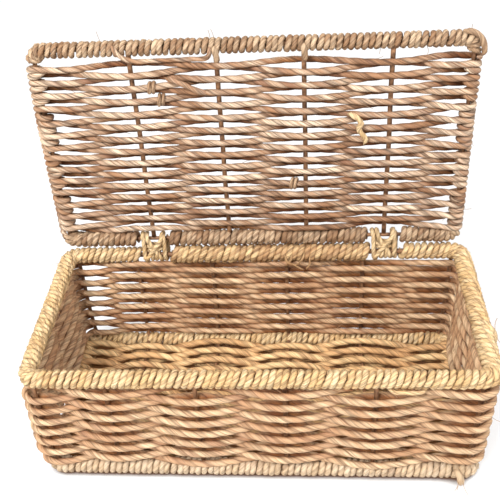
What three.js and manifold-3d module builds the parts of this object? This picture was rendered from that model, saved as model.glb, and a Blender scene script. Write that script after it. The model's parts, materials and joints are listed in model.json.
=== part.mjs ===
// A woven box with a lid. A frame of bent wire carries rows of twisted grass rope: the floor and the
// lid are woven panels, the walls are rows of rope that go round the box, and the rim and the long
// edges are wires wrapped with rope. Two rope ties hold the lid's rear wire to the rim, and the wire
// turns in them as a hinge.
// Millimetres, +X to the right, +Y to the back, +Z up. The lid stands open, and the origin is on the
// ground under the middle of the open box.
import * as THREE from "three";
import Module from "manifold-3d";

const wasm = await Module();
wasm.setup();
const { Manifold, Mesh } = wasm;

// Driving dimensions
const fitGap = 0.3; // left between pieces that touch
const ropeDiameter = 4.4; // woven rope
const rowGap = 0.4; // least room between two rows of rope
const stakeDiameter = 3; // wire of the stakes, the floor and the lid
const rimWireDiameter = 4; // wire inside the rim

const rimLength = 300; // rim wire from left to right, centre to centre
const rimDepth = 137; // rim wire from front to back, centre to centre
const rimCorner = 8; // bend of the rim wire
const rimWrap = 4.3; // thickness of the rope wrapped on the rim wire
const rimClear = 2.5; // room between the rim's wrap and the top row

const wallRise = 87; // floor wire to rim wire, centre to centre
const wallCorner = 7; // bend of the rows at the corners
const crossStakes = 4; // stakes that run under the floor and up both long walls
const crossShift = -10; // middle of the cross stakes from the box's, to the right
const endStakeSpread = 44; // between the two stakes of an end wall
const stakeRamp = 8; // run over which a cross stake climbs over the floor wire
const stakeBend = 4; // slanted part where a long stake turns up
const stakeRoom = 0.5; // left round a stake where it goes into a wrap

const endLean = 4; // floor wire's ends inside the rim wire's, centre to centre
const sideLean = 2; // floor wire's sides inside the rim wire's, centre to centre
const floorCorner = 6; // bend of the floor wire
const floorWrap = 4.7; // thickness of the rope wrapped on the floor wire

const lidEndInset = 3.5; // lid wire's ends inside the rim wire's, centre to centre
const lidFrontReach = 13; // lid wire's front past the rim wire's when shut, centre to centre
const lidCorner = 6; // bend of the lid wire
const lidWrap = 3.7; // thickness of the rope wrapped on the lid wire
const lidFrontClear = 5; // room between the front wrap and the nearest row
const lidStakes = 4; // stakes from the hinge to the front of the lid
const lidShift = 5.5; // middle of the lid's stakes from the lid's, to the right
const lidRopes = 4; // lengths of rope woven one after another into the lid
const lidOpening = 90; // degrees from shut to the pose shown
const hingeBehind = 3.5; // hinge wire behind the rim wire, centre to centre
const hingePlay = 0.6; // left round the hinge wire where it turns in the ties

const tieRope = 3; // rope of the hinge ties
const tieTurns = 3; // turns of a tie
const tieGap = 0.5; // room between two turns of a tie

// How finely the round forms are cut
const ropeSides = 6;
const wrapSides = 8;
const bendSteps = 4; // parts of a wire's corner bend
const rowBendSteps = 3; // parts of a row's corner bend
const turnSteps = 4; // parts of a rope's turn round an end wire
const tieHalfSteps = 6; // parts of half a turn of a tie

// Sizes that follow
const ropeRadius = ropeDiameter / 2;
const stakeRadius = stakeDiameter / 2;
const rimWireRadius = rimWireDiameter / 2;
const rowPitch = ropeDiameter + rowGap;
const weaveReach = stakeRadius + fitGap + ropeRadius; // stake's centre to the rope's
const weaveHalf = weaveReach + ropeRadius; // half the thickness of a woven panel
const rimRadius = rimWireRadius + fitGap + rimWrap;
const floorRadius = stakeRadius + fitGap + floorWrap;
const lidRadius = stakeRadius + fitGap + lidWrap;
const stakeStep = stakeDiameter + fitGap; // between the centres of two wires that cross
const stakeRise = (stakeStep * stakeRamp) / Math.sqrt(stakeRamp ** 2 - stakeStep ** 2);
const floorLength = rimLength - 2 * endLean;
const floorDepth = rimDepth - 2 * sideLean;
const lidLength = rimLength - 2 * lidEndInset;
const lidDepth = hingeBehind + rimDepth + lidFrontReach;
const floorHeight = Math.max(floorRadius, weaveHalf);
const rimHeight = floorHeight + wallRise;
const hingeHeight = rimHeight + rimRadius + fitGap + weaveHalf;
const hingeSetback = rimDepth / 2 + hingeBehind;
const frontReach = rimDepth / 2 + rimRadius;
const rearReach = hingeSetback + weaveHalf;
const stakeTop = rimHeight - rimWireRadius - fitGap;

const alongX = new THREE.Vector3(1, 0, 0);
const alongY = new THREE.Vector3(0, 1, 0);
const alongZ = new THREE.Vector3(0, 0, 1);
const degree = Math.PI / 180;

const ropeLook = { color: 0xb88d58, roughness: 0.85, metalness: 0 };
const wrapLook = { color: 0xd0b06e, roughness: 0.85, metalness: 0 };
const wireLook = { color: 0x3b2c24, roughness: 0.55, metalness: 0.6 };

const basket = new THREE.Group();
basket.name = "woven_lidded_box";
const base = new THREE.Group();
base.position.y = (frontReach - rearReach) / 2;
const lid = new THREE.Group();
lid.position.set(0, base.position.y + hingeSetback, hingeHeight);
lid.rotation.x = -lidOpening * degree;
basket.add(base, lid);

function addPiece(group, name, geometry, look) {
  const mesh = new THREE.Mesh(geometry, new THREE.MeshStandardMaterial(look));
  mesh.name = name;
  group.add(mesh);
}

function at(x, y, z) {
  return new THREE.Vector3(x, y, z);
}

// Corners of a bar's section, with a flat side below, in a square from -1 to 1
function sectionCorners(sides) {
  const angles = Array.from({ length: sides }, (unused, i) => Math.PI * ((2 * i + 1) / sides - 0.5));
  const widest = Math.max(...angles.map((angle) => Math.abs(Math.cos(angle))));
  const highest = Math.max(...angles.map((angle) => Math.abs(Math.sin(angle))));
  return angles.map((angle) => [Math.cos(angle) / widest, Math.sin(angle) / highest]);
}

// A bar along a line of points, mitred at its bends. One side of its section keeps to the upright,
// a direction that the line never takes.
function barAlong(points, radius, upright, { sides = ropeSides, closed = false } = {}) {
  const corners = sectionCorners(sides);
  const count = points.length;
  const positions = [];
  const triangles = [];
  points.forEach((point, i) => {
    const last = points[closed ? (i + count - 1) % count : Math.max(i - 1, 0)];
    const next = points[closed ? (i + 1) % count : Math.min(i + 1, count - 1)];
    const leaving = next.clone().sub(point).normalize();
    const arriving = point.clone().sub(last).normalize();
    const heading = arriving.clone().add(leaving).normalize();
    const across = upright.clone().cross(heading).normalize();
    const up = heading.clone().cross(across);
    const mitre = 1 / heading.dot(i < count - 1 ? leaving : arriving);
    corners.forEach(([side, height]) => {
      const corner = point.clone();
      corner.addScaledVector(across, side * radius * mitre);
      corner.addScaledVector(up, height * radius);
      positions.push(corner.x, corner.y, corner.z);
    });
  });
  const lengths = closed ? count : count - 1;
  for (let i = 0; i < lengths; i += 1) {
    const here = i * sides;
    const there = ((i + 1) % count) * sides;
    for (let j = 0; j < sides; j += 1) {
      const k = (j + 1) % sides;
      triangles.push(here + j, here + k, there + k, here + j, there + k, there + j);
    }
  }
  if (!closed) {
    const end = (count - 1) * sides;
    for (let j = 1; j < sides - 1; j += 1) {
      triangles.push(0, j + 1, j, end, end + j, end + j + 1);
    }
  }
  const geometry = new THREE.BufferGeometry();
  geometry.setAttribute("position", new THREE.Float32BufferAttribute(positions, 3));
  geometry.setIndex(triangles);
  geometry.computeVertexNormals();
  return geometry;
}

function solidOf(geometry) {
  const mesh = new Mesh({
    numProp: 3,
    vertProperties: new Float32Array(geometry.getAttribute("position").array),
    triVerts: new Uint32Array(geometry.getIndex().array),
  });
  mesh.merge();
  return Manifold.ofMesh(mesh);
}

function geometryOf(solid) {
  const mesh = solid.getMesh();
  const geometry = new THREE.BufferGeometry();
  geometry.setAttribute("position", new THREE.Float32BufferAttribute(mesh.vertProperties, 3));
  geometry.setIndex(Array.from(mesh.triVerts));
  geometry.computeVertexNormals();
  return geometry;
}

// A stake's path made longer at both ends, so that its room in a wrap reaches the wire
function carriedOn(path, extra) {
  const longer = path.map((point) => point.clone());
  longer[0].addScaledVector(path[0].clone().sub(path[1]).normalize(), extra);
  longer.at(-1).addScaledVector(path.at(-1).clone().sub(path.at(-2)).normalize(), extra);
  return longer;
}

// The wrap of a wire: a sleeve with room for the wire and for each stake that comes in to it
function wrapAlong(points, radius, wireRadius, stakes) {
  const bore = barAlong(points, wireRadius + fitGap, alongZ);
  let sleeve = solidOf(barAlong(points, radius, alongZ, { sides: wrapSides })).subtract(solidOf(bore));
  stakes.forEach(({ path, upright }) => {
    const room = barAlong(carriedOn(path, stakeRadius), stakeRadius + stakeRoom, upright);
    sleeve = sleeve.subtract(solidOf(room));
  });
  return geometryOf(sleeve);
}

function cornerBend(centreX, centreY, radius, startAngle, height) {
  return Array.from({ length: bendSteps + 1 }, (unused, i) => {
    const angle = startAngle - (i / bendSteps) * 90 * degree;
    return at(centreX + radius * Math.cos(angle), centreY + radius * Math.sin(angle), height);
  });
}

// Points round a rectangle with bent corners, from the rear right corner to the front
function bentLoop(length, depth, corner, centreY, height) {
  const x = length / 2 - corner;
  const y = depth / 2 - corner;
  return [
    ...cornerBend(x, centreY + y, corner, 90 * degree, height),
    ...cornerBend(x, centreY - y, corner, 0, height),
    ...cornerBend(-x, centreY - y, corner, -90 * degree, height),
    ...cornerBend(-x, centreY + y, corner, -180 * degree, height),
  ];
}

// Places of stakes at even steps of a length, with their middle off its middle by a shift
function stakePlaces(count, length, shift) {
  return Array.from({ length: count }, (unused, i) => length * ((i + 1) / (count + 1) - 0.5) + shift);
}

// Places of rows of rope that fill the room between two outermost rows
function rowPlaces(first, last) {
  const spaces = Math.max(1, Math.floor((last - first) / rowPitch));
  return Array.from({ length: spaces + 1 }, (unused, i) => first + ((last - first) * i) / spaces);
}

// A rope woven to and fro over the stakes of a flat panel. At each end it goes round the end wire and
// comes back as the next row.
function weaveRope(rows, firstRow, panel) {
  const half = panel.length / 2;
  const places = [-half, ...panel.stakes, half];
  const turnReach = weaveReach / Math.cos((90 * degree) / turnSteps);
  const path = [];
  rows.forEach((distance, i) => {
    const heading = i % 2 === 0 ? 1 : -1;
    const order = places.map((unused, j) => (heading > 0 ? j : places.length - 1 - j));
    order.forEach((j) => {
      const side = (firstRow + i + j) % 2 === 0 ? 1 : -1;
      path.push(at(places[j], panel.rear - distance, panel.height + side * weaveReach));
    });
    if (i < rows.length - 1) {
      const side = (firstRow + i + order.at(-1)) % 2 === 0 ? 1 : -1;
      for (let step = 0; step < turnSteps; step += 1) {
        const angle = ((step + 0.5) / turnSteps) * 180 * degree;
        const along = distance + ((rows[i + 1] - distance) * step) / (turnSteps - 1);
        const out = half + turnReach * Math.sin(angle);
        path.push(at(heading * out, panel.rear - along, panel.height + side * turnReach * Math.cos(angle)));
      }
    }
  });
  return barAlong(path, ropeRadius, alongY);
}

// Half the length and depth of the middle of the walls, which stand over the floor wire and end under
// the rim wire
function wallHalf(height) {
  const share = (height - floorHeight) / wallRise;
  return {
    x: THREE.MathUtils.lerp(floorLength / 2, rimLength / 2, share),
    y: THREE.MathUtils.lerp(floorDepth / 2, rimDepth / 2, share),
  };
}

// Wires of the base
const crossPlaces = stakePlaces(crossStakes, floorLength, crossShift);
const rimLoop = bentLoop(rimLength, rimDepth, rimCorner, 0, rimHeight);
addPiece(base, "base_rim_wire", barAlong(rimLoop, rimWireRadius, alongZ, { closed: true }), wireLook);
const floorLoop = bentLoop(floorLength, floorDepth, floorCorner, 0, floorHeight);
addPiece(base, "floor_wire", barAlong(floorLoop, stakeRadius, alongZ, { closed: true }), wireLook);

const baseStakes = [];
crossPlaces.forEach((x, i) => {
  const foot = floorDepth / 2 - stakeRamp;
  const turn = wallHalf(floorHeight + stakeRise).y;
  const top = wallHalf(stakeTop).y;
  const path = [
    at(x, -top, stakeTop),
    at(x, -turn, floorHeight + stakeRise),
    at(x, -foot, floorHeight),
    at(x, foot, floorHeight),
    at(x, turn, floorHeight + stakeRise),
    at(x, top, stakeTop),
  ];
  baseStakes.push({ name: `cross_stake_${i + 1}`, path, upright: alongX });
});

// The two long stakes lie on the cross stakes and turn up in the end walls
const longHeight = floorHeight + stakeStep;
[-1, 1].forEach((side) => {
  const y = (side * endStakeSpread) / 2;
  const foot = wallHalf(longHeight).x - stakeBend;
  const turn = wallHalf(longHeight + stakeBend).x;
  const top = wallHalf(stakeTop).x;
  const path = [
    at(-top, y, stakeTop),
    at(-turn, y, longHeight + stakeBend),
    at(-foot, y, longHeight),
    at(foot, y, longHeight),
    at(turn, y, longHeight + stakeBend),
    at(top, y, stakeTop),
  ];
  baseStakes.push({ name: side < 0 ? "long_stake_front" : "long_stake_rear", path, upright: alongY });
});

[-1, 1].forEach((sideY) => {
  [-1, 1].forEach((sideX) => {
    const heights = [floorHeight + stakeRadius + fitGap, stakeTop];
    const path = heights.map((height) => {
      const half = wallHalf(height);
      return at(sideX * (half.x - wallCorner), sideY * half.y, height);
    });
    const name = `corner_stake_${sideY < 0 ? "front" : "rear"}_${sideX < 0 ? "left" : "right"}`;
    baseStakes.push({ name, path, upright: alongX });
  });
});
baseStakes.forEach(({ name, path, upright }) => {
  addPiece(base, name, barAlong(path, stakeRadius, upright), wireLook);
});

// Hinge ties, each round the hinge wire and the rim wire on both sides of an outer stake of the lid. In
// its middle turn a tie crosses from one side to the other between the wires, on their front, low
// enough to leave the stake free when the lid shuts.
const lidPlaces = stakePlaces(lidStakes, lidLength, lidShift);
const tiePitch = tieRope + tieGap;
const tieRimReach = rimWireRadius + fitGap + tieRope / 2;
const tieLidReach = stakeRadius + hingePlay + tieRope / 2;
const sectionReach = Math.max(...sectionCorners(ropeSides).map(([side, height]) => Math.hypot(side, height)));
const tieDrop = hingeHeight - rimHeight;
const tieClear = stakeRadius + fitGap + (tieRope / 2) * sectionReach;
const tieBeside = (tieClear * tieDrop) / Math.sqrt(tieDrop ** 2 - (2 * tieClear) ** 2);
const tieSteps = tieTurns * 2 * tieHalfSteps;
const tieCross = (2 * Math.floor(tieTurns / 2) + 1) * tieHalfSteps; // first step after the crossing

function tieOffset(step) {
  const advance = tiePitch / (2 * tieHalfSteps);
  return step < tieCross
    ? -tieBeside - advance * (tieCross - 1 - step)
    : tieBeside + advance * (step - tieCross);
}

function tiePath(stake) {
  const outward = 1 / Math.cos((90 * degree) / tieHalfSteps);
  return Array.from({ length: tieSteps + 1 }, (unused, i) => {
    const angle = ((i + 0.5) / tieHalfSteps) * 180 * degree;
    const overHinge = Math.sin(angle) > 0;
    const reach = (overHinge ? tieLidReach : tieRimReach) * outward;
    const y = (overHinge ? hingeSetback : rimDepth / 2) + reach * Math.cos(angle);
    const z = (overHinge ? hingeHeight : rimHeight) + reach * Math.sin(angle);
    return at(stake + tieOffset(i), y, z);
  });
}

// Least gap between neighbouring turns of a tie, measured along its straight parts
function leastTurnGap(path) {
  const turn = 2 * tieHalfSteps;
  let least = Infinity;
  for (let i = 0; i + 1 < path.length; i += 1) {
    const here = new THREE.Line3(path[i], path[i + 1]);
    for (let j = i + turn - 2; j <= i + turn + 2 && j < path.length; j += 1) {
      const nearest = here.closestPointToPoint(path[j], true, at(0, 0, 0));
      least = Math.min(least, nearest.distanceTo(path[j]) - tieRope);
    }
  }
  return least;
}

const tieStakes = { left: lidPlaces.at(0), right: lidPlaces.at(-1) };
Object.entries(tieStakes).forEach(([hand, stake]) => {
  const path = tiePath(stake);
  console.log(`hinge_tie_${hand}: least gap between turns ${leastTurnGap(path).toFixed(2)} mm`);
  addPiece(base, `hinge_tie_${hand}`, barAlong(path, tieRope / 2, alongX), ropeLook);
});

// Wraps of the base. The rim's wrap stops at the ties.
const tieLeftReach = tieRope / 2 - tieOffset(0);
const tieRightReach = tieRope / 2 + tieOffset(tieSteps);
const leftTieStart = tieStakes.left - tieLeftReach;
const leftTieEnd = tieStakes.left + tieRightReach;
const rightTieStart = tieStakes.right - tieLeftReach;
const rightTieEnd = tieStakes.right + tieRightReach;
const rimRear = rimDepth / 2;
const roundWrap = [
  at(rightTieEnd + fitGap, rimRear, rimHeight),
  ...rimLoop,
  at(leftTieStart - fitGap, rimRear, rimHeight),
];
const rearWrap = [
  at(leftTieEnd + fitGap, rimRear, rimHeight),
  at(rightTieStart - fitGap, rimRear, rimHeight),
];
addPiece(base, "base_rim_wrap", wrapAlong(roundWrap, rimRadius, rimWireRadius, baseStakes), wrapLook);
addPiece(base, "base_rim_wrap_rear", wrapAlong(rearWrap, rimRadius, rimWireRadius, baseStakes), wrapLook);
["front", "rear"].forEach((side) => {
  const y = (side === "front" ? -1 : 1) * (floorDepth / 2);
  const end = floorLength / 2 - floorCorner;
  const path = [at(-end, y, floorHeight), at(end, y, floorHeight)];
  addPiece(base, `floor_wrap_${side}`, wrapAlong(path, floorRadius, stakeRadius, baseStakes), wrapLook);
});

// Floor ropes, with the long stakes between them
const floorPanel = {
  length: floorLength,
  stakes: crossPlaces,
  rear: floorDepth / 2,
  height: floorHeight,
};
const floorEdgeRow = Math.max(Math.max(floorRadius, weaveHalf) + rowGap + ropeRadius, floorCorner);
const rearStakeRow = (floorDepth - endStakeSpread) / 2;
const frontStakeRow = (floorDepth + endStakeSpread) / 2;
const floorRows = {
  rear: rowPlaces(floorEdgeRow, rearStakeRow - weaveReach),
  middle: rowPlaces(rearStakeRow + weaveReach, frontStakeRow - weaveReach),
  front: rowPlaces(frontStakeRow + weaveReach, floorDepth - floorEdgeRow),
};
Object.entries(floorRows).forEach(([zone, rows]) => {
  addPiece(base, `floor_rope_${zone}`, weaveRope(rows, 0, floorPanel), ropeLook);
});

// Stations of a wall row: one at each stake, where the rope passes inside or outside it, and more in
// the bends at the corners
function wallStations(height) {
  const half = wallHalf(height);
  return [0, 1, 2, 3].flatMap((side) => {
    const facing = (90 - 90 * side) * degree;
    const outward = at(Math.cos(facing), Math.sin(facing), 0);
    const heading = at(Math.sin(facing), -Math.cos(facing), 0);
    const isLong = side % 2 === 0;
    const away = isLong ? half.y : half.x;
    const reach = (isLong ? half.x : half.y) - wallCorner;
    const places = isLong ? crossPlaces : [-endStakeSpread / 2, endStakeSpread / 2];
    const inner = side < 2 ? places : places.map((place) => -place).reverse();
    const straight = [-reach, ...inner, reach].map((along, i) => ({
      point: outward.clone().multiplyScalar(away).addScaledVector(heading, along),
      outward,
      atStake: isLong || (i > 0 && i <= inner.length),
    }));
    const centre = outward.clone().multiplyScalar(away - wallCorner).addScaledVector(heading, reach);
    const bend = Array.from({ length: rowBendSteps - 1 }, (unused, i) => {
      const angle = facing - ((i + 1) / rowBendSteps) * 90 * degree;
      const direction = at(Math.cos(angle), Math.sin(angle), 0);
      const point = centre.clone().addScaledVector(direction, wallCorner);
      return { point, outward: direction, atStake: false };
    });
    return [...straight, ...bend];
  });
}

// A rope that goes once round the walls, outside one stake and inside the next
function wallRow(height, row) {
  const stations = wallStations(height);
  const count = stations.length;
  const travelled = [0];
  for (let i = 1; i <= count; i += 1) {
    travelled.push(travelled[i - 1] + stations[i % count].point.distanceTo(stations[i - 1].point));
  }
  const marks = [];
  stations.forEach((station, i) => {
    if (station.atStake) {
      const outside = (marks.length + row) % 2 === 1;
      marks.push({ distance: travelled[i], offset: outside ? weaveReach : -weaveReach });
    }
  });
  marks.push({ distance: travelled[count] + marks[0].distance, offset: marks[0].offset });
  const path = stations.map((station, i) => {
    const next = marks.findIndex((mark) => mark.distance >= travelled[i]);
    const after = marks[next];
    const before = marks[Math.max(next - 1, 0)];
    const span = after.distance - before.distance;
    const share = span > 0 ? (travelled[i] - before.distance) / span : 1;
    const offset = THREE.MathUtils.lerp(before.offset, after.offset, share);
    return station.point.clone().addScaledVector(station.outward, offset).setZ(height);
  });
  return barAlong(path, ropeRadius, alongZ, { closed: true });
}

const bottomRow = floorHeight + Math.max(floorRadius, weaveHalf) + rowGap + ropeRadius;
const topRow = rimHeight - rimRadius - rimClear - ropeRadius;
rowPlaces(bottomRow, topRow).forEach((height, i) => {
  addPiece(base, `wall_row_${String(i + 1).padStart(2, "0")}`, wallRow(height, i), ropeLook);
});

// The lid, drawn shut with its hinge wire on the group's X axis
const lidLoop = bentLoop(lidLength, lidDepth, lidCorner, -lidDepth / 2, 0);
addPiece(lid, "lid_wire", barAlong(lidLoop, stakeRadius, alongZ, { closed: true }), wireLook);
const lidStakeEnd = stakeRadius + fitGap;
const lidFrame = lidPlaces.map((x, i) => {
  const path = [at(x, -lidStakeEnd, 0), at(x, lidStakeEnd - lidDepth, 0)];
  addPiece(lid, `lid_stake_${i + 1}`, barAlong(path, stakeRadius, alongZ), wireLook);
  return { path, upright: alongZ };
});

const lidWrapEnd = lidLength / 2 - lidCorner;
const lidWraps = {
  lid_wrap_front: [-lidWrapEnd, lidWrapEnd, -lidDepth],
  lid_wrap_hinge_left: [-lidWrapEnd, leftTieStart - fitGap, 0],
  lid_wrap_hinge_middle: [leftTieEnd + fitGap, rightTieStart - fitGap, 0],
  lid_wrap_hinge_right: [rightTieEnd + fitGap, lidWrapEnd, 0],
};
Object.entries(lidWraps).forEach(([name, [start, end, y]]) => {
  const path = [at(start, y, 0), at(end, y, 0)];
  addPiece(lid, name, wrapAlong(path, lidRadius, stakeRadius, lidFrame), wrapLook);
});

const lidPanel = {
  length: lidLength,
  stakes: lidPlaces,
  rear: 0,
  height: 0,
};
// The first row clears the slanting front of the ties when the lid is shut
const tieSlant = (hingeBehind + tieRimReach - tieLidReach) / tieDrop;
const tieFront = tieLidReach + tieSlant * weaveHalf + (tieRope / 2) * sectionReach;
const hingeEdge = Math.max(lidRadius, tieFront);
const hingeRow = Math.max(hingeEdge + rowGap + ropeRadius * sectionReach, lidCorner);
const frontRow = lidDepth - Math.max(lidRadius + lidFrontClear + ropeRadius, lidCorner);
const lidRows = rowPlaces(hingeRow, frontRow);
for (let i = 0; i < lidRopes; i += 1) {
  const first = Math.round((lidRows.length * i) / lidRopes);
  const next = Math.round((lidRows.length * (i + 1)) / lidRopes);
  const geometry = weaveRope(lidRows.slice(first, next), first, lidPanel);
  addPiece(lid, `lid_rope_${i + 1}`, geometry, ropeLook);
}

export default basket;
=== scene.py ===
import json
import math
import random

import bmesh
import bpy
from mathutils import Matrix, Vector, noise

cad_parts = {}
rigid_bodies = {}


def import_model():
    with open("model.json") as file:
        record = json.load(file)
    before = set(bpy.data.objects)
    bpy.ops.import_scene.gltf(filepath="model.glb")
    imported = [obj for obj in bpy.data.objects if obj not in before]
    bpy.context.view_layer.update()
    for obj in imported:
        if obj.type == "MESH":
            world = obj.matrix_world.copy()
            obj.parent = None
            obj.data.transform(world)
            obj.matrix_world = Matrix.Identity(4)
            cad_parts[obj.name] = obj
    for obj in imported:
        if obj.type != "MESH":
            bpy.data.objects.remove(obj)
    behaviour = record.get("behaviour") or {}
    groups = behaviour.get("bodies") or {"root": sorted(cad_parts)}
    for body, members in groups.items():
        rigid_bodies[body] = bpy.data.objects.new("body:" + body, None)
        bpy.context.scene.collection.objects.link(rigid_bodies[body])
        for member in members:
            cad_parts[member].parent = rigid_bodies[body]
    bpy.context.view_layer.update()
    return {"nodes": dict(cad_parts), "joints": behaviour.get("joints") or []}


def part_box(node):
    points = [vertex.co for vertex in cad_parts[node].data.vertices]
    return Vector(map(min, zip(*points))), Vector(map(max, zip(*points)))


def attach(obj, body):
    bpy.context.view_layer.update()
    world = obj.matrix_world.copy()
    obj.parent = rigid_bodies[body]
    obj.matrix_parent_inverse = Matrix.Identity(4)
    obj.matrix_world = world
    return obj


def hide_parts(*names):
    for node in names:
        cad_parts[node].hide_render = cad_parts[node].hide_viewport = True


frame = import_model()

mm = 0.001
picks = random.Random(12)
noise.seed_set(12)  # or noise_vector differs from run to run
sceneObjects = bpy.context.scene.collection.objects
hinge = Vector(frame["joints"][0]["pos_m"])


# places that the frame gives

def middleOf(node):
    low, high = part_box(node)
    return (low + high) / 2


def nodesNamed(start):
    return sorted(node for node in frame["nodes"] if node.startswith(start))


def clamp(value):
    return min(1, max(0, value))


def smooth(share):
    return share ** 2 * (3 - 2 * share)


def ending(node):  # FrontLeft for corner_stake_front_left
    return "".join(word.capitalize() for word in node.split("_")[2:])


wires = {"stake": 1.5 * mm, "rim": 2.0 * mm, "lidStake": 1.75 * mm}  # radii
rimLow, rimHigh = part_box("base_rim_wire")
floorLow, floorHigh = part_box("floor_wire")
lidLow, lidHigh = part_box("lid_wire")
baseY = (rimLow.y + rimHigh.y) / 2
rimZ = (rimLow.z + rimHigh.z) / 2
floorZ = (floorLow.z + floorHigh.z) / 2

# the bent wires, as half lengths and half depths of their centre lines
rimLoop = {
    "halfX": rimHigh.x - wires["rim"],
    "halfY": (rimHigh.y - rimLow.y) / 2 - wires["rim"],
    "corner": 8 * mm,
}
floorLoop = {
    "halfX": floorHigh.x - wires["stake"],
    "halfY": (floorHigh.y - floorLow.y) / 2 - wires["stake"],
    "corner": 6 * mm,
}
lidLoop = {
    "halfX": lidHigh.x - wires["stake"],
    "halfY": (lidHigh.z - lidLow.z) / 2 - wires["stake"],
    "corner": 6 * mm,
}
wallStakes = [middleOf(node).x for node in nodesNamed("cross_stake_")]
lidStakes = [middleOf(node).x for node in nodesNamed("lid_stake_")]
endStakes = [middleOf(node).y - baseY for node in nodesNamed("long_stake_")]


def onBase(x, y, z):
    return Vector((x, baseY + y, z))


def onLid(x, y, z):  # y runs from the hinge wire to the lid's front, z to its outer face
    return Vector((x, hinge.y + z, hinge.z + y))


def onLidLoop(x, y, z):  # the loop's rear is the hinge wire
    return onLid(x, lidLoop["halfY"] - y, z)


def heightShare(z):  # 0 at the floor, 1 at the rim
    return (z - floorZ) / (rimZ - floorZ)


def frontShare(y):  # 0 at the rear wall, 1 at the front
    return clamp((1 - (y - baseY) / rimLoop["halfY"]) / 2)


def loopPoint(s, loop):
    # place and outward direction at a distance s round a bent wire, from its rear left, clockwise
    corner = loop["corner"]
    bend = corner * math.pi / 2
    s = s % loopLength(loop)
    for side in range(4):
        facing = math.radians(90 - 90 * side)
        outward = Vector((math.cos(facing), math.sin(facing), 0))
        heading = Vector((math.sin(facing), -math.cos(facing), 0))
        reach = (loop["halfX"] if side % 2 == 0 else loop["halfY"]) - corner
        away = loop["halfY"] if side % 2 == 0 else loop["halfX"]
        if s <= 2 * reach:
            return outward * away + heading * (s - reach), outward
        s -= 2 * reach
        if s <= bend or side == 3:
            turned = facing - s / corner
            direction = Vector((math.cos(turned), math.sin(turned), 0))
            return outward * (away - corner) + heading * reach + direction * corner, direction
        s -= bend


def loopLength(loop):
    corner = loop["corner"]
    return 4 * (loop["halfX"] + loop["halfY"] - 2 * corner) + 2 * math.pi * corner


# the rope itself

ropeMake = {
    "sides": 14,
    "sink": 0.13,  # how far the plies sit apart, as a share of the radius
    "lay": 21 * mm,  # length of one full twist
    "woundLay": 12 * mm,  # the same in a winding
    "step": 1.8 * mm,
    "swell": 0.13,  # how much the thickness varies
    "swellRun": 28 * mm,
    "tip": 0.4,  # how blunt a tapered end is, in radii
}
ropes = {  # radii
    "wall": 2.5 * mm,
    "lid": 2.35 * mm,
    "floor": 2.9 * mm,
    "rim": 2.3 * mm,
    "rearRim": 2.75 * mm,
    "floorEdge": 2.4 * mm,
    "lidEdge": 2.15 * mm,
    "hingeEdge": 2.5 * mm,
    "tie": 1.85 * mm,
}


def makeSection(make):
    # two plies pressed together, starting in a groove
    curve = bpy.data.curves.new("plySection", "CURVE")
    curve.dimensions = "2D"
    spline = curve.splines.new("POLY")
    spline.points.add(make["sides"] - 1)
    sink = make["sink"]
    for i, point in enumerate(spline.points):
        turn = 2 * math.pi * i / make["sides"]
        angle = turn + math.pi / 2
        across = math.sin(angle) * sink
        reach = abs(math.cos(angle)) * sink + math.sqrt((1 - sink) ** 2 - across ** 2)
        point.co = (reach * math.cos(angle), reach * math.sin(angle), 0, 1)
    spline.use_cyclic_u = True
    section = bpy.data.objects.new("plySection", curve)
    sceneObjects.link(section)
    return section


plySection = makeSection(ropeMake)
laidLines = {}  # the line of every rope, by the piece's name


def evenPath(points, step, closed=False):
    # points at an even distance along a line of points
    line = points + [points[0]] if closed else points
    travelled = [0.0]
    for here, there in zip(line, line[1:]):
        travelled.append(travelled[-1] + (there - here).length)
    count = max(2, round(travelled[-1] / step))
    path = []
    segment = 0
    for i in range(count if closed else count + 1):
        target = travelled[-1] * i / count
        while segment < len(line) - 2 and travelled[segment + 1] < target:
            segment += 1
        span = travelled[segment + 1] - travelled[segment]
        share = (target - travelled[segment]) / span if span > 0 else 0
        path.append(line[segment].lerp(line[segment + 1], share))
    return path, travelled[-1]


def twistRope(name, lines, radius, closed=False, taper=0.0, lay=ropeMake["lay"]):
    # a twisted rope along each line, made a mesh with u along the rope and v round it
    laidLines[name] = lines
    curve = bpy.data.curves.new(name, "CURVE")
    curve.dimensions = "3D"
    curve.bevel_mode = "OBJECT"
    curve.bevel_object = plySection
    curve.use_fill_caps = not closed
    lengths = []
    for line in lines:
        path, length = evenPath(line, ropeMake["step"], closed)
        turns = length / lay
        turns = round(turns) if closed else turns
        spline = curve.splines.new("POLY")
        spline.points.add(len(path) - 1)
        spline.use_cyclic_u = closed
        seed = picks.uniform(0, 500)
        startTilt = picks.uniform(0, 2 * math.pi)
        for i, point in enumerate(spline.points):
            share = i / (len(path) if closed else len(path) - 1)
            fade = math.sin(math.pi * share) if closed else 1
            swell = noise.noise(Vector((seed, share * length / ropeMake["swellRun"], 0)))
            fromEnd = min(share, 1 - share) * length + radius * ropeMake["tip"]
            ends = min(1, fromEnd / taper) if taper else 1
            point.co = (*path[i], 1)
            point.radius = radius * (1 + ropeMake["swell"] * swell * fade) * ends
            point.tilt = (startTilt + 2 * math.pi * turns * share) % (2 * math.pi)
        lengths.append(length)
    rope = bpy.data.objects.new(name, curve)
    sceneObjects.link(rope)
    return settleRope(rope, lengths, radius)


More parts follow.
